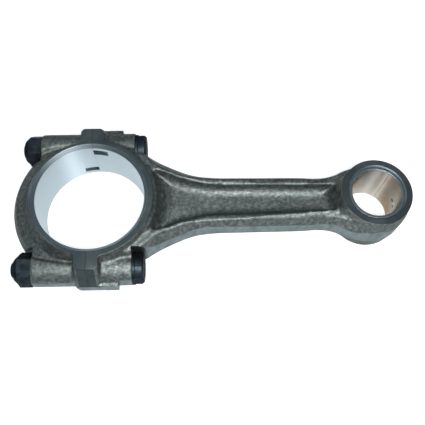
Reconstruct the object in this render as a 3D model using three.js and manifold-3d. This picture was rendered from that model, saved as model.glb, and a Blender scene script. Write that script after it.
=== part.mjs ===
// Diesel connecting rod, lying on its side: +X from the big end to the small end, +Z along both bores.
// The rod, its bearing cap, two bolts with their nuts and the small-end bush are separate solids.
import * as THREE from "three";
import { mergeVertices } from "three/addons/utils/BufferGeometryUtils.js";
import Module from "manifold-3d";

const wasm = await Module();
wasm.setup();

// ---- Driving dimensions, in millimetres ----
const centreDistance = 180; // big-end bore axis to small-end bore axis
const endThickness = 39; // both eyes, face to face along the bores
const bigBore = 68; // housing bore that the bearing shells would sit in
const boreChamfer = 2;
const ringWidth = 5.4; // flat machined face around the big-end bore
const capWall = 17.3; // bore to the outside of the cap, at mid height
const jointGap = 0.3; // between the two machined joint faces
const fitGap = 0.3; // around and under every piece that sits in or on another

const boltDiameter = 12;
const boltWall = 7.3; // bore surface to bolt axis
const bossWall = 5.2; // metal around a bolt hole
const headSeat = 26.2; // bolt head seat, from the joint plane
const nutSeat = 35; // nut seat, from the joint plane
const headHeight = 7.2;
const headRadius = 10.4;
const headFlat = 9.4; // bolt axis to the flat that stops the bolt from turning
const nutAcrossFlats = 19;
const nutHeight = 9.3;
const nutCollarHeight = 2.2;
const nutCollarRadius = 8.2;
const boltStandout = 2.2; // threaded tip beyond the nut collar

const padHalfWidth = 7; // machined pad on each ear, either side of the joint
const padReach = 6.2; // bolt axis to the pad's edge, at the end face
const earReach = 12.8; // bolt axis to the outside of the ear, at mid height
const bandHalfHeight = 5.8; // trimmed band left by the die parting line
const footLength = 17.8; // low step on the rod side of each ear, from the joint
const footHalfHeight = 4;
const capTrim = 10.1; // bolt axis to the trimmed side of a cap boss
const rodTrim = 9.4; // the same beside the bolt head

const beamHeight = 22; // I-section, along the bores
const beamWidth = 34; // over the trimmed band, at the big-end side
const beamTaper = 0.8; // lost on each side by the small end
const webThickness = 9;
const ribWidth = 5.6; // band to the channel wall
const draftSlope = 0.46; // sideways fall per millimetre above the band
const channelRound = 5.5;

const bushBore = 31;
const bushWall = 2;
const bushInset = 0.8; // end face to the end of the bush
const eyeWall = 4.5; // bush seat to the eye's outside, at the end faces
const eyeDraft = 1.4; // more at mid height
const oilHole = 2.2;
const oilHoleSpacing = 3.3;
const tangWidth = 6.5;
const tangLength = 12;
const tangDepth = 1.6;
const tangInset = 5; // end face to the near side of a tang slot

// ---- Sizes that follow ----
const boreRadius = bigBore / 2;
const ringRadius = boreRadius + ringWidth;
const capRadius = boreRadius + capWall;
const boltY = boreRadius + boltWall;
const boltRadius = boltDiameter / 2;
const bossRadius = boltRadius + bossWall;
const middle = endThickness / 2;
const seatRadius = bushBore / 2 + bushWall;
const eyeRadius = seatRadius + eyeWall;
const eyeBand = eyeRadius + eyeDraft;
const nutRadius = nutAcrossFlats / Math.sqrt(3);
const boltTip = nutSeat + fitGap + nutHeight + nutCollarHeight + boltStandout;
const overall = { low: -Math.max(capRadius, boltTip), high: centreDistance + eyeBand };
const far = 400; // longer than anything that a cutter has to pass

// ---- Solids ----
function solid(geometry) {
  const bare = geometry.clone();
  bare.deleteAttribute("normal");
  bare.deleteAttribute("uv");
  const merged = mergeVertices(bare, 1e-4);
  const triVerts = new Uint32Array(merged.index.array);
  const vertProperties = merged.attributes.position.array;
  return new wasm.Manifold(new wasm.Mesh({ numProp: 3, vertProperties, triVerts }));
}

function box(low, high) {
  const size = high.map((value, i) => value - low[i]);
  const centre = high.map((value, i) => (value + low[i]) / 2);
  return solid(new THREE.BoxGeometry(...size).translate(...centre));
}

// A cylinder or cone along X between two stations.
function barX(radius, from, to, y, z, sides = 48, farRadius = radius) {
  const bar = new THREE.CylinderGeometry(farRadius, radius, to - from, sides);
  return solid(bar.rotateZ(-Math.PI / 2).translate((from + to) / 2, y, z));
}

// A solid of revolution about a bore axis at x, from [radius, z] points.
function turned(points, x, sides) {
  const profile = points.map(([radius, z]) => new THREE.Vector2(radius, z));
  profile.push(profile[0].clone());
  return solid(new THREE.LatheGeometry(profile, sides).rotateX(Math.PI / 2).translate(x, 0, 0));
}

// A plain upright cylinder that goes right through.
function borer(radius, x, sides) {
  const drill = new THREE.CylinderGeometry(radius, radius, far, sides);
  return solid(drill.rotateX(Math.PI / 2).translate(x, 0, 0));
}

// A bore through both end faces, with a 45 degree chamfer at each mouth.
function chamferedBore(radius, chamfer, x, sides) {
  const reach = chamfer + 1;
  const mouth = (z, up) =>
    solid(
      new THREE.CylinderGeometry(radius + reach, radius, reach, sides)
        .rotateX(up * Math.PI / 2)
        .translate(x, 0, z),
    );
  return borer(radius, x, sides)
    .add(mouth(endThickness - chamfer + reach / 2, 1))
    .add(mouth(chamfer - reach / 2, -1));
}

// A plan outline raised either side of mid height: full size over the band, then drafted inwards.
function forged(shape, halfHeight, bandHalf, draft) {
  const rise = halfHeight - bandHalf;
  const raised = new THREE.ExtrudeGeometry(shape, {
    depth: 2 * bandHalf,
    bevelThickness: rise,
    bevelSize: draft,
    bevelOffset: -draft,
    bevelSegments: 1,
    curveSegments: 16,
  });
  return solid(raised.translate(0, 0, middle - bandHalf));
}

// A side outline in X and Z, as wide as needed across Y.
function sideOutline(shape) {
  const wide = new THREE.ExtrudeGeometry(shape, { depth: far, bevelEnabled: false });
  return solid(wide.rotateX(Math.PI / 2).translate(0, far / 2, 0));
}

// Both outlines below are drawn for y > 0 and closed by their mirror image.
function mirroredShape(drawHalf) {
  const half = new THREE.Path();
  drawHalf(half);
  const points = half.getPoints(10);
  const offAxis = points.filter((p) => p.y > 0);
  const mirrored = offAxis.map((p) => new THREE.Vector2(p.x, -p.y)).reverse();
  return new THREE.Shape(points.concat(mirrored).reverse());
}

const tone = {
  forging: new THREE.MeshStandardMaterial({ color: 0x5c625e, roughness: 0.5, metalness: 0.8 }),
  fastener: new THREE.MeshStandardMaterial({ color: 0x28323f, roughness: 0.38, metalness: 0.85 }),
  bush: new THREE.MeshStandardMaterial({ color: 0xa8957c, roughness: 0.35, metalness: 0.9 }),
};

const rod = new THREE.Group();
rod.position.x = -(overall.low + overall.high) / 2;

function addMesh(name, body, material) {
  const made = body.getMesh();
  const geometry = new THREE.BufferGeometry();
  geometry.setAttribute("position", new THREE.BufferAttribute(new Float32Array(made.vertProperties), 3));
  geometry.setIndex(new THREE.BufferAttribute(new Uint32Array(made.triVerts), 1));
  geometry.computeVertexNormals();
  const mesh = new THREE.Mesh(geometry, material);
  mesh.name = name;
  rod.add(mesh);
}

// ---- Pieces ----
const sides = [1, -1];
const bigSides = 72;
const smallSides = 48;
const rodHalf = box([jointGap / 2, -far, -far], [far, far, far]);
const capHalf = box([-far, -far, -far], [-jointGap / 2, far, far]);

// The ear at a joint: a pad flush with the end faces, drafted out to the trimmed band.
function ear(side, from, to) {
  const inner = boreRadius - 2;
  const edge = boltY + padReach;
  const outer = boltY + earReach;
  const section = new THREE.Shape([
    new THREE.Vector2(inner, 0),
    new THREE.Vector2(edge, 0),
    new THREE.Vector2(outer, middle - bandHalfHeight),
    new THREE.Vector2(outer, middle + bandHalfHeight),
    new THREE.Vector2(edge, endThickness),
    new THREE.Vector2(inner, endThickness),
  ]);
  const pad = new THREE.ExtrudeGeometry(section, { depth: to - from, bevelEnabled: false });
  pad.rotateX(Math.PI / 2).rotateZ(Math.PI / 2);
  pad.translate(from, 0, 0);
  const body = solid(pad);
  return side > 0 ? body : body.mirror([0, 1, 0]);
}

function boltHole(side) {
  return barX(boltRadius + fitGap, -far / 2, far / 2, side * boltY, middle);
}

// The slot in the bore that keeps a bearing shell from turning.
// It runs from the joint into the rod or into the cap.
function tangSlot(nearTop, towards) {
  const low = nearTop ? endThickness - tangInset - tangWidth : tangInset;
  const run = [-towards, towards * tangLength].sort((a, b) => a - b);
  return box([run[0], boreRadius - 6, low], [run[1], boreRadius + tangDepth, low + tangWidth]);
}

function bearingCap() {
  const rimTop = middle + 10.5;
  const shoulder = middle + 8;
  const profile = [
    [boreRadius - 4, 0],
    [ringRadius - 0.9, 0],
    [ringRadius + 2.6, endThickness - rimTop],
    [capRadius - 2.3, endThickness - shoulder],
    [capRadius, middle - 4],
    [capRadius, middle + 4],
    [capRadius - 2.3, shoulder],
    [ringRadius + 2.6, rimTop],
    [ringRadius - 0.9, endThickness],
    [boreRadius - 4, endThickness],
  ];
  let body = turned(profile, 0, bigSides);
  for (const side of sides) {
    const corner = [0, side * boltY].sort((a, b) => a - b);
    body = body.add(box([-nutSeat, corner[0], middle - 10], [1, corner[1], middle + 10]));
    body = body.add(barX(bossRadius, -nutSeat, 1, side * boltY, middle));
  }
  body = body.intersect(box([-far, -boltY - capTrim, -far], [far, boltY + capTrim, far]));
  for (const side of sides) {
    body = body.add(ear(side, -padHalfWidth, 1));
  }
  // The arch is cut back to the nut seats, clear of the nuts' corners.
  const nutInside = boltY - nutRadius - 2 * fitGap;
  for (const side of sides) {
    const across = [side * nutInside, side * far].sort((a, b) => a - b);
    body = body.subtract(box([-far, across[0], -far], [-nutSeat, across[1], far]));
    body = body.subtract(boltHole(side));
  }
  body = body.subtract(chamferedBore(boreRadius, boreChamfer, 0, bigSides));
  body = body.subtract(tangSlot(false, -1));
  return body.intersect(capHalf);
}

// Plan of the beam over its trimmed band, from inside the big end to inside the small end.
function beamPlan() {
  const start = beamWidth / 2;
  const end = start - beamTaper;
  const eyeX = centreDistance;
  return mirroredShape((half) => {
    half.moveTo(0, boltY);
    half.lineTo(headSeat, boltY);
    half.lineTo(headSeat, boltY - headFlat + 3.5);
    half.bezierCurveTo(headSeat + 23, start + 8.5, headSeat + 34, start + 0.2, headSeat + 58, start);
    half.lineTo(eyeX - eyeBand - 8.6, end);
    const neck = eyeX - eyeBand;
    half.bezierCurveTo(neck - 1, end, neck + 5, eyeBand - 5, neck + eyeBand / 2, eyeBand - 3);
    half.lineTo(eyeX, eyeBand - 3);
  });
}

// Side view of the forging between the eyes.
function beamSide() {
  const rib = beamHeight / 2;
  const top = [
    [0, rib + 4.2],
    [ringRadius - 2, rib + 3.2],
    [ringRadius + 24, rib + 0.2],
    [centreDistance - eyeBand - 6, rib],
    [centreDistance - eyeRadius + 3, rib + 4.5],
    [centreDistance, rib + 4.5],
  ];
  const upper = top.map(([x, rise]) => new THREE.Vector2(x, middle + rise)).reverse();
  const lower = top.map(([x, rise]) => new THREE.Vector2(x, middle - rise));
  return sideOutline(new THREE.Shape(upper.concat(lower)));
}

// The channel sunk into each side of the beam, wider towards the big end. The plan is its flat floor,
// and a rounded corner spreads from there up to the ribs.
function channel(up) {
  const start = beamWidth / 2 - ribWidth - channelRound;
  const end = start - beamTaper - 0.6;
  const left = ringRadius + 2.4 + channelRound;
  const right = centreDistance - eyeRadius - 3.5 - channelRound;
  const plan = mirroredShape((half) => {
    half.moveTo(left + 1.6, 0);
    half.lineTo(left + 0.4, 7.2);
    half.lineTo(left + 0.2, 12);
    half.quadraticCurveTo(left + 0.3, 13.4, left + 1.7, 13.1);
    half.bezierCurveTo(left + 16, start + 3, left + 20, start + 0.3, left + 34, start);
    half.lineTo(right - 1.5, end);
    half.lineTo(right, end - 1.5);
  });
  const floor = webThickness / 2;
  const cutter = new THREE.ExtrudeGeometry(plan, {
    depth: 30,
    bevelThickness: channelRound,
    bevelSize: channelRound,
    bevelSegments: 4,
  });
  cutter.translate(0, 0, floor + channelRound);
  const body = solid(cutter);
  return (up > 0 ? body : body.mirror([0, 0, 1])).translate([0, 0, middle]);
}

function rodBody() {
  const ring = [
    [boreRadius - 4, 0],
    [ringRadius, 0],
    [ringRadius + 3.2, middle - 10],
    [ringRadius + 3.2, middle + 10],
    [ringRadius, endThickness],
    [boreRadius - 4, endThickness],
  ];
  let body = turned(ring, 0, bigSides);
  const tallHalf = beamHeight / 2 + 5;
  const draft = (tallHalf - bandHalfHeight) * draftSlope;
  const beam = forged(beamPlan(), tallHalf, bandHalfHeight, draft).intersect(beamSide());
  body = body.add(beam);
  for (const side of sides) {
    body = body.add(barX(bossRadius, -1, headSeat, side * boltY, middle));
  }
  body = body.intersect(box([-far, -boltY - capTrim, -far], [far, boltY + capTrim, far]));
  const trim = boltY + rodTrim;
  for (const side of sides) {
    const beside = [side * trim, side * far].sort((a, b) => a - b);
    body = body.subtract(box([footLength, beside[0], -far], [far, beside[1], far]));
    body = body.add(ear(side, -1, padHalfWidth));
    const foot = [side * boltY, side * (boltY + earReach)].sort((a, b) => a - b);
    const footLow = middle - footHalfHeight;
    body = body.add(box([0, foot[0], footLow], [footLength, foot[1], footLow + 2 * footHalfHeight]));
    // The shoulder that the flat of the bolt head stands against.
    const shoulder = [side * (boltY - headFlat - fitGap), side * far].sort((a, b) => a - b);
    body = body.subtract(box([headSeat, shoulder[0], -far], [headSeat + 26, shoulder[1], far]));
  }
  const eye = [
    [seatRadius - 4, 0],
    [eyeRadius, 0],
    [eyeBand, middle - bandHalfHeight],
    [eyeBand, middle + bandHalfHeight],
    [eyeRadius, endThickness],
    [seatRadius - 4, endThickness],
  ];
  body = body.subtract(channel(1)).subtract(channel(-1));
  body = body.add(turned(eye, centreDistance, bigSides));
  body = body.subtract(chamferedBore(boreRadius, boreChamfer, 0, bigSides));
  body = body.subtract(chamferedBore(seatRadius, 0.6, centreDistance, smallSides));
  for (const side of sides) {
    body = body.subtract(boltHole(side));
  }
  body = body.subtract(tangSlot(true, 1)).subtract(oilHoles());
  return body.intersect(rodHalf);
}

// Two small holes through the tip of the small end and its bush.
function oilHoles() {
  const from = centreDistance + bushBore / 4;
  const hole = (side) => barX(oilHole / 2, from, from + far / 4, (side * oilHoleSpacing) / 2, middle, 12);
  return hole(1).add(hole(-1));
}

function bush() {
  const outer = seatRadius - fitGap;
  const inner = bushBore / 2;
  const end = bushInset;
  const chamfer = 0.7;
  const profile = [
    [inner, end + chamfer],
    [inner + chamfer, end],
    [outer, end],
    [outer, endThickness - end],
    [inner + chamfer, endThickness - end],
    [inner, endThickness - end - chamfer],
  ];
  return turned(profile, centreDistance, smallSides).subtract(oilHoles());
}

// Round head with one flat, plain shank, and a tip that stands out of the nut.
function bolt(side) {
  const y = side * boltY;
  const under = headSeat + fitGap;
  const rim = 1.2;
  const top = under + headHeight;
  let head = barX(headRadius, under, top - rim, y, middle);
  head = head.add(barX(headRadius, top - rim, top, y, middle, 48, headRadius - rim));
  const flat = [side * (boltY - headFlat), side * far].sort((a, b) => a - b);
  head = head.intersect(box([0, flat[0], -far], [far, flat[1], far]));
  const shank = barX(boltRadius, 1 - boltTip, under + 1, y, middle, 36);
  const tip = barX(boltRadius - 1, -boltTip, 1 - boltTip, y, middle, 36, boltRadius);
  return head.add(shank).add(tip);
}

function nut(side, cornerAngle) {
  const y = side * boltY;
  const seat = -(nutSeat + fitGap);
  const hex = new THREE.CylinderGeometry(nutRadius, nutRadius, nutHeight, 6);
  hex.rotateZ(Math.PI / 2).rotateX(cornerAngle).translate(seat - nutHeight / 2, y, middle);
  const crown = 1.4;
  const outer = seat - nutHeight;
  const round = barX(nutRadius - crown * 1.6, outer, outer + crown, y, middle, 48, nutRadius + 0.01).add(
    barX(nutRadius + 0.01, outer + crown, seat, y, middle),
  );
  const collarTop = outer - nutCollarHeight;
  const collar = barX(nutCollarRadius - 1, collarTop, outer + 1, y, middle, 48, nutCollarRadius);
  return solid(hex).intersect(round).add(collar).subtract(boltHole(side));
}

addMesh("rod_body", rodBody(), tone.forging);
addMesh("bearing_cap", bearingCap(), tone.forging);
addMesh("bolt_upper", bolt(1), tone.fastener);
addMesh("bolt_lower", bolt(-1), tone.fastener);
addMesh("nut_upper", nut(1, THREE.MathUtils.degToRad(5)), tone.fastener);
addMesh("nut_lower", nut(-1, THREE.MathUtils.degToRad(10)), tone.fastener);
addMesh("small_end_bush", bush(), tone.bush);

export default rod;
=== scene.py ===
import math

import bpy
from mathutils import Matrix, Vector


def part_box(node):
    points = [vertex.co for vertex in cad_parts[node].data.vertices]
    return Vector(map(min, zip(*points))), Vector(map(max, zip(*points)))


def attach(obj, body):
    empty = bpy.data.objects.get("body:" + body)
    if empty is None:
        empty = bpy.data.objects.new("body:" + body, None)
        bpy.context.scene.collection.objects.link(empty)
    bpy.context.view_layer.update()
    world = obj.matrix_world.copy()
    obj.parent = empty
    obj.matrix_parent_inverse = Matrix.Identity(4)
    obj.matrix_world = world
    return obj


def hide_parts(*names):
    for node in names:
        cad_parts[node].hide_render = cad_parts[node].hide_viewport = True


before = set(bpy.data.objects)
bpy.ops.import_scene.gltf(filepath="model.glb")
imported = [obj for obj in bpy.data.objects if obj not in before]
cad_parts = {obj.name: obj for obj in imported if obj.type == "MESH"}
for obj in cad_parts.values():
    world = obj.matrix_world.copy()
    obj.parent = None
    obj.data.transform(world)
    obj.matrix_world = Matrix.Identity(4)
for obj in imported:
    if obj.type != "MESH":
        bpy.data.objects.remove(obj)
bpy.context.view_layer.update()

# ---- Rod ----
# The rod is a steel drop forging. Dies leave rounded ribs, drafted walls and a rough blasted skin.
# The flash is then sheared off along the parting line, and the bores and end faces are machined.

mm = 0.001
eye_x = 180.0  # small-end bore axis, from the big-end axis
bush_low, bush_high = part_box("small_end_bush")
big_end_x = (bush_low[0] + bush_high[0]) / 2 / mm - eye_x
mid_height = (bush_low[2] + bush_high[2]) / 2 / mm


def alone(*objects):
    """Selects these objects and nothing else, in object mode."""
    bpy.ops.object.select_all(action="DESELECT")
    for each in objects:
        each.select_set(True)
    bpy.context.view_layer.objects.active = objects[0]


def place(x, y, height):
    """A point in millimetres from the big-end axis and from mid height, in metres in the frame."""
    return Vector((x + big_end_x, y, height + mid_height)) * mm


def disc(x, radius, half_height, sides=128, y=0.0, height=0.0):
    """A round blank that stands upright, such as one about a bore axis."""
    bpy.ops.mesh.primitive_cylinder_add(
        vertices=sides,
        radius=radius * mm,
        depth=2 * half_height * mm,
        location=place(x, y, height),
    )
    bpy.ops.object.transform_apply()
    return bpy.context.object


def bar(x_from, x_to, y, radius, sides=96, height=0.0):
    """A round bar along the rod."""
    bpy.ops.mesh.primitive_cylinder_add(
        vertices=sides,
        radius=radius * mm,
        depth=(x_to - x_from) * mm,
        location=place((x_from + x_to) / 2, y, height),
        rotation=(0, math.pi / 2, 0),
    )
    bpy.ops.object.transform_apply()
    return bpy.context.object


def block(low, high):
    """A square block between two corners."""
    centre = [(a + b) / 2 for a, b in zip(low, high)]
    bpy.ops.mesh.primitive_cube_add(size=mm, location=place(*centre))
    bpy.context.object.scale = [b - a for a, b in zip(low, high)]
    bpy.ops.object.transform_apply()
    return bpy.context.object


def both_edges(knots):
    """Knots of an outline drawn along +Y, with their mirror images, in order round the outline."""
    return knots + [(x, -y, *rest) for x, y, *rest in reversed(knots)]


def loop(knots, corners="AUTO"):
    """A closed wire through knots of x, y and height, smooth unless corners is VECTOR."""
    bpy.ops.curve.primitive_bezier_curve_add()
    wire = bpy.context.object
    spline = wire.data.splines[0]
    spline.use_cyclic_u = True
    spline.bezier_points.add(len(knots) - 2)
    for knot, spot in zip(spline.bezier_points, knots):
        knot.co = place(*spot)
        knot.handle_left_type = knot.handle_right_type = corners
    bpy.ops.object.convert(target="MESH")
    return bpy.context.object


def skin(*loops):
    """A closed solid stretched over wires that lie one above the other."""
    alone(*loops)
    bpy.ops.object.join()
    bpy.ops.object.mode_set(mode="EDIT")
    bpy.ops.mesh.select_all(action="SELECT")
    bpy.ops.mesh.bridge_edge_loops()
    bpy.ops.mesh.select_all(action="SELECT")
    bpy.ops.mesh.fill_holes(sides=0)
    bpy.ops.mesh.select_all(action="SELECT")
    bpy.ops.mesh.normals_make_consistent(inside=False)
    bpy.ops.object.mode_set(mode="OBJECT")
    return bpy.context.object


def facing(solid, direction):
    """Selects the faces of a solid that look one way, and leaves edit mode on for faces."""
    alone(solid)
    bpy.ops.object.mode_set(mode="EDIT")
    bpy.ops.mesh.select_mode(type="FACE")
    bpy.ops.mesh.select_all(action="DESELECT")
    bpy.ops.object.mode_set(mode="OBJECT")
    for face in solid.data.polygons:
        face.select = face.normal.dot(direction) > 0.98
    bpy.ops.object.mode_set(mode="EDIT")


def drafted(solid, steps):
    """Carries both flat ends of a blank on: each step goes in and then up by so many millimetres."""
    for way in (1, -1):
        facing(solid, Vector((0, 0, way)))
        for inwards, up in steps:
            bpy.ops.mesh.inset(thickness=inwards * mm, depth=up * mm)
        bpy.ops.object.mode_set(mode="OBJECT")
    return solid


def cut(solid, *cutters, keep="DIFFERENCE", finish=None):
    """Cuts a solid with others, and gives the cut faces a finish. INTERSECT keeps what is inside."""
    for cutter in cutters:
        if finish:
            cutter.data.materials.clear()
            cutter.data.materials.append(finish)
        alone(solid)
        step = solid.modifiers.new("cut", "BOOLEAN")
        step.operation = keep
        step.solver = "EXACT"
        step.use_self = keep == "UNION"
        step.material_mode = "TRANSFER"
        step.object = cutter
        bpy.ops.object.modifier_apply(modifier=step.name)
        bpy.data.objects.remove(cutter)
    return solid


def forge(*blanks, rounding=8):
    """Melts overlapping blanks into one forging, with every edge and hollow rounded."""
    alone(*blanks)
    if len(blanks) > 1:
        bpy.ops.object.join()
    whole = bpy.context.object
    melt = whole.modifiers.new("melt", "REMESH")
    melt.mode = "VOXEL"
    melt.voxel_size = 0.85 * mm
    bpy.ops.object.modifier_apply(modifier=melt.name)
    soften = whole.modifiers.new("soften", "SMOOTH")
    soften.factor = 0.5
    soften.iterations = rounding
    bpy.ops.object.modifier_apply(modifier=soften.name)
    return whole


def coloured(name, colour, metal, roughness, glance=1.0):
    """A new finish, with its shader and node tree. Glance is how bright it is when seen almost edge on."""
    finish = bpy.data.materials.new(name)
    finish.use_nodes = True
    shader = finish.node_tree.nodes["Principled BSDF"]
    shader.inputs["Base Color"].default_value = (*colour, 1)
    shader.inputs["Metallic"].default_value = metal
    shader.inputs["Roughness"].default_value = roughness
    shader.inputs["Specular Tint"].default_value = (glance, glance, glance, 1)
    return finish, shader, finish.node_tree


def noise_at(tree, scale, detail=4.0, stretch=(1, 1, 1)):
    """Noise over the object's own coordinates, at so many lumps per metre."""
    where = tree.nodes.new("ShaderNodeTexCoord")
    spread = tree.nodes.new("ShaderNodeMapping")
    spread.inputs["Scale"].default_value = stretch
    texture = tree.nodes.new("ShaderNodeTexNoise")
    texture.inputs["Scale"].default_value = scale
    texture.inputs["Detail"].default_value = detail
    tree.links.new(where.outputs["Object"], spread.inputs["Vector"])
    tree.links.new(spread.outputs["Vector"], texture.inputs["Vector"])
    return texture.outputs["Fac"]


def ramp(tree, source, stops):
    """A colour ramp on a texture: stops are place and grey value or colour."""
    node = tree.nodes.new("ShaderNodeValToRGB")
    while len(node.color_ramp.elements) < len(stops):
        node.color_ramp.elements.new(0.5)
    for element, (spot, value) in zip(node.color_ramp.elements, stops):
        element.position = spot
        element.color = (*value, 1) if isinstance(value, tuple) else (value, value, value, 1)
    tree.links.new(source, node.inputs["Fac"])
    return node.outputs["Color"]


def bumped(tree, shader, *layers, edge=0.45):
    """Rounds the edges a little in the light, then stacks bump layers.
    Each is a texture, a strength and a depth in millimetres."""
    rounded = tree.nodes.new("ShaderNodeBevel")
    rounded.samples = 4
    rounded.inputs["Radius"].default_value = edge * mm
    below = rounded.outputs["Normal"]
    for source, strength, depth in layers:
        bump = tree.nodes.new("ShaderNodeBump")
        bump.inputs["Strength"].default_value = strength
        bump.inputs["Distance"].default_value = depth * mm
        tree.links.new(source, bump.inputs["Height"])
        tree.links.new(below, bump.inputs["Normal"])
        below = bump.outputs["Normal"]
    tree.links.new(below, shader.inputs["Normal"])


forged_skin, shader, tree = coloured("forged_skin", (0.13, 0.14, 0.13), 0.9, 0.5, glance=0.42)
mottle = ramp(tree, noise_at(tree, 480, 8), [
    (0.34, (0.070, 0.084, 0.082)), (0.5, (0.110, 0.125, 0.120)), (0.68, (0.17, 0.188, 0.178)),
])
tree.links.new(mottle, shader.inputs["Base Color"])
tree.links.new(ramp(tree, noise_at(tree, 700, 3), [(0.3, 0.40), (0.7, 0.56)]), shader.inputs["Roughness"])
waves = (noise_at(tree, 130, 2), 0.2, 0.35)
blasting = (noise_at(tree, 900, 3), 0.7, 0.26)
grit = (noise_at(tree, 2100, 2), 1.0, 0.2)
bumped(tree, shader, waves, blasting, grit, edge=0.7)

ground_face, shader, tree = coloured("ground_face", (0.10, 0.12, 0.125), 0.95, 0.44, glance=0.7)
patches = ramp(tree, noise_at(tree, 45, 5), [
    (0.3, (0.050, 0.068, 0.076)), (0.5, (0.074, 0.090, 0.092)), (0.7, (0.13, 0.155, 0.168)),
])
tree.links.new(patches, shader.inputs["Base Color"])
grinding = (noise_at(tree, 900, 2, (1, 0.06, 1)), 0.3, 0.06)
pits = (noise_at(tree, 1500, 2), 0.25, 0.05)
bumped(tree, shader, grinding, pits, edge=0.6)


def honed(tree, shader):
    """Fine marks round an upright bore, which draw every highlight out along its axis."""
    shader.inputs["Anisotropic"].default_value = 1.0
    along = tree.nodes.new("ShaderNodeCombineXYZ")
    along.inputs["Z"].default_value = 1
    tree.links.new(along.outputs["Vector"], shader.inputs["Tangent"])
    bumped(tree, shader, (noise_at(tree, 1600, 2, (0.03, 0.03, 1)), 0.2, 0.04))


honed_bore, shader, tree = coloured("honed_bore", (0.38, 0.455, 0.49), 1.0, 0.28)
honed(tree, shader)

turned_chamfer, shader, tree = coloured("turned_chamfer", (0.23, 0.27, 0.295), 1.0, 0.38)
bumped(tree, shader, (noise_at(tree, 1200, 2, (0.2, 0.2, 1)), 0.3, 0.04))

# The milled ear slopes: a real milled finish with cutter marks, but its base colour is made far darker than
# the ground faces as painted shade.
milled_flank_painted_shade, shader, tree = coloured("milled_flank_painted_shade", (0.04, 0.05, 0.055), 0.9, 0.4, glance=0.4)
tree.links.new(
    ramp(tree, noise_at(tree, 120, 5), [(0.3, (0.030, 0.040, 0.043)), (0.7, (0.050, 0.062, 0.066))]),
    shader.inputs["Base Color"],
)
bumped(tree, shader, (noise_at(tree, 900, 2, (0.1, 1, 1)), 0.3, 0.06), edge=0.9)

sheared_edge, shader, tree = coloured("sheared_edge", (0.14, 0.18, 0.19), 0.9, 0.4, glance=0.55)
tree.links.new(
    ramp(tree, noise_at(tree, 260, 4, (1, 1, 0.3)), [(0.3, (0.095, 0.13, 0.14)), (0.7, (0.175, 0.22, 0.23))]),
    shader.inputs["Base Color"],
)
bumped(tree, shader, (noise_at(tree, 1100, 2, (1, 1, 0.12)), 0.4, 0.1))

# Beam: rib tops above and below, and the widest line between them, where the dies met.
rib_line = [
    (8, 36.5, 12.5), (20, 35.6, 14.0), (30, 32.6, 14.5), (41.5, 23.4, 13.6), (48, 20.3, 12.7),
    (55, 17.6, 12.1), (63, 15.8, 11.7), (76, 14.7, 11.2), (95, 14.2, 10.9), (132, 13.8, 10.9),
    (149, 13.2, 11.3), (157, 14.6, 13.0), (166, 18.5, 14.5), (180, 19.5, 14.5),
]
parting_line = [
    (8, 42, 0), (20, 43, 0), (30, 41, 0), (41.5, 33.6, 0), (48, 30.4, 0), (55, 26.8, 0),
    (63, 23.0, 0), (76, 20.2, 0), (95, 19.8, 0), (132, 19.4, 0), (149, 19.0, 0),
    (157, 20.6, 0), (166, 24.0, 0), (180, 24.0, 0),
]
upper = loop(both_edges(rib_line))
parting = loop(both_edges(parting_line))
lower = loop(both_edges([(x, y, -height) for x, y, height in rib_line]))
beam = skin(upper, parting, lower)

# The channel on each side of the beam, drafted down to a round foot that runs into a flat floor.
rib_inside = [
    (30, 17.5), (40, 20.5), (47, 19.2), (55, 16.2), (63, 13.9), (76, 11.6), (95, 11.1), (132, 10.2),
    (152, 9.6), (160, 9.0), (168, 7.0),
]
wall_draft = 0.8
round_top = 11.0
round_width = 6.3
round_height = 6.4
steps_down = [(0, 17.0), (wall_draft, round_top)]
for turn in (math.radians(30), math.radians(60), math.radians(82)):
    inwards = wall_draft + round_width * (1 - math.cos(turn))
    steps_down.append((inwards, round_top - round_height * math.sin(turn)))
for way in (1, -1):
    rows = [[(x, y - inwards, way * height) for x, y in rib_inside] for inwards, height in steps_down]
    cut(beam, skin(*[loop(both_edges(row)) for row in rows]))

# Big-end half ring, with its wall falling to the channel floor in a long hollow slope.
hub = drafted(disc(0, 46.0, 3), [(1.2, 3), (2.4, 4), (2.2, 5), (0.9, 5.8)])
cut(hub, block((4, -60, -30), (60, 60, 30)), keep="INTERSECT")
apron = drafted(disc(0, 54.5, 4.4), [(3.8, 0.6), (3.2, 1.5), (2.6, 2.6), (2.0, 3.5), (1.6, 4.0)])
cut(apron, block((33, -21.5, -30), (60, 21.5, 30)), keep="INTERSECT")

# Small-end eye, and the slope that the channel floor climbs to reach it.
eye = drafted(disc(eye_x, 24.0, 4), [(0.6, 5), (0.8, 6), (0.6, 5.8)])
slope = [(3.2, 0.7), (2.8, 1.7), (2.2, 2.8), (1.9, 3.6), (1.7, 4.0), (1.6, 4.0)]
neck = drafted(disc(eye_x, 35.5, 4.3), slope)
cut(neck, block((140, -12.5, -30), (182, 12.5, 30)), keep="INTERSECT")

# Bolt bosses, the ears at the joint, which stand out to the parting line, and a low foot by each ear.
boss_y = 41.3  # bolt axis, from the rod's centre line


def across(side, near, far):
    """Two distances from the rod's centre line, on one side of it, in rising order."""
    return sorted((side * near, side * far))


def ear(side, x_from, x_to):
    """The ear at a joint: flush with the end faces and drafted out to the parting line."""
    layers = []
    for outer, height in ((47.2, 20.5), (56.3, 0), (47.2, -20.5)):
        plan = [(x_from, 30), (x_from, outer - 2.2), (x_from + 2.2, outer)]
        plan += [(x_to - 2.2, outer), (x_to, outer - 2.2), (x_to, 30)]
        layers.append(loop([(x, side * y, height) for x, y in plan], "VECTOR"))
    return skin(*layers)


blanks = []
for side in (1, -1):
    inner, outer = across(side, 30, 45)
    blanks.append(bar(0.6, 27.2, side * boss_y, 11.2))
    blanks.append(block((0.6, inner, -8.6), (23, outer, 8.6)))
    blanks.append(ear(side, -6, 7.2))
    inner, outer = across(side, 40, 56)
    blanks.append(block((0.6, inner, -4.4), (18.3, outer, 4.4)))

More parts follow.
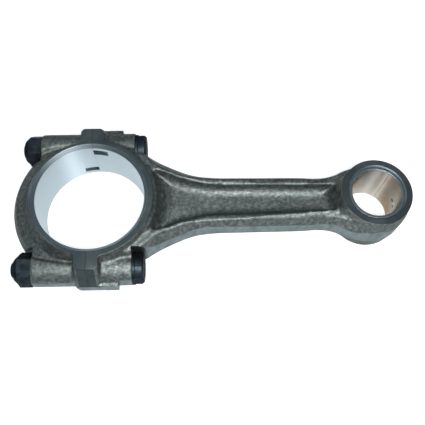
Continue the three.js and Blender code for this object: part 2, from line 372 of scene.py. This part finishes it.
# Two small pips that the die leaves, one on the slope and one on a rib.
blanks.append(disc(45, 1.3, 1.3, 16, y=4, height=9.4))
blanks.append(disc(82, 1.2, 1.0, 16, y=12.8, height=11.6))

rod = forge(beam, hub, apron, eye, neck, *blanks)

def milled(solid, side):
    """Mills the slope of an ear flat, above and below the parting line."""
    layers = []
    for inner, height in ((46.7, 20.5), (55.9, 0), (46.7, -20.5)):
        plan = [(-9, inner), (-9, 64), (9, 64), (9, inner)]
        layers.append(loop([(x, side * y, height) for x, y in plan], "VECTOR"))
    # The milled faces take the very dark finish, whose colour is partly painted shade.
    cut(solid, skin(*layers), finish=milled_flank_painted_shade)


# The trimming die shears the flash to a plain upright band along both sides.
trim_line = [
    (-60, 62), (20, 62), (29, 46), (33, 33.2), (40, 29.5), (47, 26.0), (54, 22.9), (60, 20.4),
    (67, 18.2), (76, 17.1), (95, 16.9), (135, 16.5), (150, 16.2), (157, 17.8), (163, 20.9),
    (171, 22.9), (180, 23.4), (190, 21.4), (198.4, 14.3), (202.7, 5),
]
ear_side = 54.1  # the trimmed side of an ear, from the centre line
die = skin(*[loop(both_edges([(x, y, height) for x, y in trim_line])) for height in (25, -25)])
cut(rod, die, keep="INTERSECT", finish=sheared_edge)
for side in (1, -1):
    milled(rod, side)
    inner, outer = across(side, ear_side, 80)
    cut(rod, block((-60, inner, -30), (60, outer, 30)), finish=sheared_edge)
    inner, outer = across(side, 50.7, 80)
    cut(rod, block((17.8, inner, -30), (60, outer, 30)), finish=sheared_edge)

# Machining: both end faces, the joint face, the bolt seats with the shoulders that the heads stand
# against, the bolt holes, both bores with their chamfers, the tang slot and the oil holes.


def turned(profile, x, y, upright=False, steps=96):
    """A shape turned about an upright axis, or about one along the rod. Its points are the distance
    along the axis and the radius, and the first and last are on the axis."""
    bpy.ops.curve.primitive_bezier_curve_add()
    wire = bpy.context.object
    spline = wire.data.splines[0]
    spline.bezier_points.add(len(profile) - 2)
    for knot, (along, radius) in zip(spline.bezier_points, profile):
        knot.co = place(x + radius, y, along) if upright else place(x + along, y, radius)
        knot.handle_left_type = knot.handle_right_type = "VECTOR"
    wire.data.resolution_u = 1
    bpy.ops.object.convert(target="MESH")
    bpy.ops.object.mode_set(mode="EDIT")
    bpy.ops.mesh.select_all(action="SELECT")
    axis = (0, 0, 1) if upright else (1, 0, 0)
    bpy.ops.mesh.spin(steps=steps, angle=2 * math.pi, center=place(x, y, 0), axis=axis)
    bpy.ops.mesh.select_all(action="SELECT")
    bpy.ops.mesh.remove_doubles(threshold=0.01 * mm)
    bpy.ops.mesh.normals_make_consistent(inside=False)
    bpy.ops.object.mode_set(mode="OBJECT")
    return bpy.context.object


def bored(solid, x, radius, chamfer, finish, edge):
    """Bores a hole through both end faces, with a chamfer at each mouth."""
    beyond = 4.5  # how far the reamer stands out of each end face
    wall = mid_height - chamfer
    end = mid_height + beyond
    flare = radius + chamfer + beyond
    profile = [(-end, 0), (-end, flare), (-wall, radius), (wall, radius), (end, flare), (end, 0)]
    reamer = turned(profile, x, 0, upright=True, steps=160)
    reamer.data.materials.append(finish)
    reamer.data.materials.append(edge)
    for face in reamer.data.polygons:
        face.material_index = 1 if abs(face.normal.z) > 0.3 else 0
    return cut(solid, reamer)


bore = 34.0  # radius of the big-end bore, shared with the cap
bore_chamfer = 2.1
eye_bore = 17.5
bolt_hole = 6.15
head_seat = 26.2  # from the joint plane
joint_gap = 0.02  # each joint face, from the joint plane
inside = block((joint_gap, -70, -mid_height), (220, 70, mid_height))
cut(rod, inside, keep="INTERSECT", finish=ground_face)
for side in (1, -1):
    inner, outer = across(side, 31.6, 80)
    cut(rod, block((head_seat, inner, -30), (52, outer, 30)), finish=ground_face)
    cut(rod, bar(-20, 40, side * boss_y, bolt_hole), finish=ground_face)
bored(rod, 0, bore, bore_chamfer, honed_bore, turned_chamfer)
bored(rod, eye_x, eye_bore, 0.7, ground_face, turned_chamfer)
tang_cutter = disc(0, 16, 2.9, 96, y=19.7, height=11.6)
cut(rod, tang_cutter, finish=ground_face)
oil_holes = [(2.3, 0.0), (-1.8, -1.6)]  # off the centre line, and from mid height
for off_centre, height in oil_holes:
    cut(rod, bar(188, 210, off_centre, 1.15, 24, height), finish=ground_face)


def finished(piece, name, body, node):
    """Names a piece, smooths its curved faces and ties it to the frame."""
    piece.name = name
    alone(piece)
    bpy.ops.object.shade_smooth_by_angle(angle=math.radians(32))
    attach(piece, body)
    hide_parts(node)


rod.data.materials[0] = forged_skin
finished(rod, "rod_forging", "rod", "rod_body")

# ---- Bearing cap ----
# The cap is forged in the same steel, bored together with the rod and held to it by the two bolts.
# Its arch has a rounded spine, and the pads under the nuts are milled flat.

spine = [(1.4, 3.2), (2.2, 4.4), (2.1, 1), (4.0, 1.5), (1.9, 3), (1.4, 4.5), (0.4, 2.6)]
arch = drafted(disc(0, 51.3, 0.4), spine)
nut_seat = 35.0  # from the joint plane
cut(arch, block((-60, -60, -30), (-0.6, 60, 30)), keep="INTERSECT")
blanks = []
for side in (1, -1):
    inner, outer = across(side, 29, 43)
    blanks.append(bar(-36, -0.6, side * boss_y, 10.9))
    blanks.append(block((-36, inner, -8.2), (-0.6, outer, 8.2)))
    blanks.append(ear(side, -7.6, 6))
cap = forge(arch, *blanks)


def wire_through(knots, radius):
    """A round bar bent through knots of x, y and height."""
    bpy.ops.curve.primitive_bezier_curve_add()
    wire = bpy.context.object
    spline = wire.data.splines[0]
    spline.bezier_points.add(len(knots) - 2)
    for knot, spot in zip(spline.bezier_points, knots):
        knot.co = place(*spot)
        knot.handle_left_type = knot.handle_right_type = "AUTO"
    wire.data.bevel_depth = radius * mm
    wire.data.use_fill_caps = True
    bpy.ops.object.convert(target="MESH")
    return bpy.context.object


# A crease runs in the valley between the arch and each boss.
valley = [(-41, 30.5, 8.6), (-34, 34.6, 9.3), (-22, 38.0, 11.0), (-12, 39.8, 11.6), (-8.2, 40.4, 12.0)]
for side in (1, -1):
    for way in (1, -1):
        bottom = [(x, side * y, way * height) for x, y, height in valley]
        cut(cap, wire_through(bottom, 1.7))
cap = forge(cap, rounding=3)
for side in (1, -1):
    milled(cap, side)
    inner, outer = across(side, ear_side, 80)
    cut(cap, block((-60, inner, -30), (60, outer, 30)), finish=sheared_edge)
    inner, outer = across(side, 51.4, 80)
    cut(cap, block((-60, inner, -30), (-8.4, outer, 30)), finish=sheared_edge)
inside = block((-60, -70, -mid_height), (-joint_gap, 70, mid_height))
cut(cap, inside, keep="INTERSECT", finish=ground_face)
for side in (1, -1):
    inner, outer = across(side, 29.6, 80)
    cut(cap, block((-80, inner, -30), (-nut_seat, outer, 30)), finish=ground_face)
    cut(cap, bar(-60, 20, side * boss_y, bolt_hole), finish=ground_face)
bored(cap, 0, bore, bore_chamfer, honed_bore, turned_chamfer)
tang_cutter = disc(0, 16, 2.4, 96, y=19.7, height=-11.8)
cut(cap, tang_cutter, finish=ground_face)
cap.data.materials[0] = forged_skin
finished(cap, "bearing_cap_forging", "cap", "bearing_cap")

# ---- Cap bolts ----
# Each bolt is turned and rolled from alloy steel and blackened. Its round head has one flat, which stands
# against the rod's shoulder so that the bolt can't turn while the nut is pulled up.

black_oxide, shader, tree = coloured("black_oxide", (0.03, 0.038, 0.05), 0.9, 0.45, glance=0.3)
tree.links.new(
    ramp(tree, noise_at(tree, 220, 5), [(0.35, (0.015, 0.021, 0.026)), (0.75, (0.038, 0.050, 0.060))]),
    shader.inputs["Base Color"],
)
tree.links.new(ramp(tree, noise_at(tree, 500, 3), [(0.3, 0.36), (0.7, 0.54)]), shader.inputs["Roughness"])
bumped(tree, shader, (noise_at(tree, 800, 3), 0.35, 0.1))


def thread(x_from, x_to, crest, root, pitch):
    """The outline of a threaded length: crests and roots at each pitch."""
    points = []
    for turn in range(int((x_to - x_from) / pitch)):
        x = x_from + turn * pitch
        points += [(x, root), (x + 0.4 * pitch, crest), (x + 0.6 * pitch, crest)]
    return points


for side, name, tip in ((1, "upper", -47.7), (-1, "lower", -48.4)):
    y = side * boss_y
    outline = [(tip, 0), (tip, 4.4), (tip + 0.8, 5.2), *thread(tip + 0.9, -24, 6.0, 5.3, 1.25)]
    outline += [(-23, 5.95), (20, 5.95), (26.25, 5.95), (26.25, 10.4), (27.9, 10.4), (28.3, 9.9)]
    outline += [(32.3, 9.9), (33.5, 8.8), (33.5, 6.0), (33.1, 5.6), (33.1, 0)]
    bolt = turned(outline, 0, y)
    inner, outer = across(side, -20, 31.95)
    cut(bolt, block((24, inner, -30), (60, outer, 30)))
    for way in (1, -1):
        lower, upper = sorted((way * 9.75, way * 30))
        cut(bolt, block((28.6, y - 12, lower), (60, y + 12, upper)))
    bolt.data.materials.clear()
    bolt.data.materials.append(black_oxide)
    finished(bolt, "cap_bolt_" + name, "rod", "bolt_" + name)

# ---- Nuts ----
# Each hexagon nut has a thin collar that grips the bolt's thread. It is blackened like the bolt.

across_flats = 19.0
for side, name, corner in ((1, "upper", 4), (-1, "lower", 10)):
    y = side * boss_y
    bpy.ops.mesh.primitive_cylinder_add(
        vertices=6,
        radius=across_flats / math.sqrt(3) * mm,
        depth=9.0 * mm,
        location=place(-nut_seat - 4.55, y, 0),
    )
    nut = bpy.context.object
    nut.rotation_mode = "ZYX"
    nut.rotation_euler = (math.radians(corner), math.pi / 2, 0)
    bpy.ops.object.transform_apply()
    chamfers = [(-44.1, 0), (-44.1, 9.0), (-42.9, 11.2), (-35.6, 11.2), (-35.05, 10.2), (-35.05, 0)]
    cut(nut, turned(chamfers, 0, y), keep="INTERSECT")
    ring = [(-46.6, 0), (-46.6, 6.8), (-46.1, 7.4), (-44.4, 8.9), (-44.0, 9.1), (-42, 9.1), (-42, 0)]
    cut(nut, turned(ring, 0, y), keep="UNION")
    cut(nut, bar(-60, -20, y, 6.02))
    nut.data.materials.clear()
    nut.data.materials.append(black_oxide)
    finished(nut, "hex_nut_" + name, "nut_" + name, "nut_" + name)

# ---- Small-end bush ----
# A rolled steel bush lined with bronze is pressed into the small end and bored to size. Two oil holes are
# drilled through it and the eye, and the butt joint of the rolled strip shows as a fine upright line.

lining, shader, tree = coloured("bronze_lining", (0.27, 0.24, 0.20), 1.0, 0.34)
stains = ramp(tree, noise_at(tree, 85, 3, (1, 1, 0.35)), [
    (0.34, (0.35, 0.26, 0.165)), (0.48, (0.40, 0.36, 0.30)), (0.64, (0.42, 0.41, 0.395)),
])
tree.links.new(stains, shader.inputs["Base Color"])
honed(tree, shader)
bush_bore = 15.5
bush_inset = 0.85  # each end of the bush, below the end face
bush = disc(eye_x, eye_bore - 0.05, mid_height - bush_inset, 160)
bush.data.materials.append(turned_chamfer)
bored(bush, eye_x, bush_bore, 1.4, lining, turned_chamfer)
for off_centre, height in oil_holes:
    cut(bush, bar(188, 210, off_centre, 1.15, 24, height), finish=turned_chamfer)
seam = math.radians(53)
groove = disc(eye_x + bush_bore * math.cos(seam), 0.17, 30, 12, y=bush_bore * math.sin(seam))
cut(bush, groove)
finished(bush, "bronze_bush", "rod", "small_end_bush")

# ---- Floor, lamps and camera ----
# A pale floor, which glows softly round the rod so that its shadows stay faint. Three square lamps light
# the rod: a small one by the camera, a large one in front and to the right, and one behind.

bpy.ops.mesh.primitive_plane_add(size=1.6)
floor = bpy.context.object
floor.name = "floor"
pale_sweep, shader, tree = coloured("pale_sweep", (0.6, 0.6, 0.6), 0.0, 0.9)
where = tree.nodes.new("ShaderNodeTexCoord")
apart = tree.nodes.new("ShaderNodeSeparateXYZ")
tree.links.new(where.outputs["Object"], apart.inputs["Vector"])
glow = None
for axis, low, high in (("X", -0.20, 0.20), ("Y", -0.137, 0.23)):
    for edge, way in ((low, -1), (high, 1)):
        fade = tree.nodes.new("ShaderNodeMapRange")
        fade.interpolation_type = "SMOOTHSTEP"
        fade.inputs["From Min"].default_value = edge
        fade.inputs["From Max"].default_value = edge + way * 0.03
        fade.inputs["To Min"].default_value = 1
        fade.inputs["To Max"].default_value = 0
        tree.links.new(apart.outputs[axis], fade.inputs["Value"])
        if glow:
            both = tree.nodes.new("ShaderNodeMath")
            both.operation = "MULTIPLY"
            tree.links.new(glow, both.inputs[0])
            tree.links.new(fade.outputs["Result"], both.inputs[1])
            glow = both.outputs["Value"]
        else:
            glow = fade.outputs["Result"]
strength = tree.nodes.new("ShaderNodeMath")
strength.operation = "MULTIPLY"
strength.inputs[1].default_value = 0.5
tree.links.new(glow, strength.inputs[0])
tree.links.new(strength.outputs["Value"], shader.inputs["Emission Strength"])
shader.inputs["Emission Color"].default_value = (1, 1, 1, 1)
floor.data.materials.append(pale_sweep)

room = bpy.data.worlds.new("room")
bpy.context.scene.world = room
room.use_nodes = True
room.node_tree.nodes["Background"].inputs["Color"].default_value = (0.17, 0.213, 0.243, 1)
room.node_tree.nodes["Background"].inputs["Strength"].default_value = 1.0

lamps = [
    ((-0.009, -0.155, 0.4), 0.05, 1.7),
    ((0.2, -0.42, 0.74), 0.2, 5.0),
    ((-0.5, 0.45, 0.6), 0.3, 1.0),
]
for spot, size, power in lamps:
    bpy.ops.object.light_add(type="AREA", location=spot)
    lamp = bpy.context.object
    lamp.data.size = size
    lamp.data.energy = power
    lamp.rotation_euler = (Vector((0, 0, 0.02)) - Vector(spot)).to_track_quat("-Z", "Y").to_euler()

bpy.ops.object.camera_add(location=(-0.009455, -0.147321, 0.378752))
camera = bpy.context.object
camera.rotation_mode = "YXZ"
camera.rotation_euler = (0.378356, -0.020566, -0.015486)
camera.data.lens = 50.43
camera.data.sensor_width = 36
camera.data.clip_start = 0.01
bpy.context.scene.camera = camera
bpy.context.scene.view_settings.view_transform = "Standard"
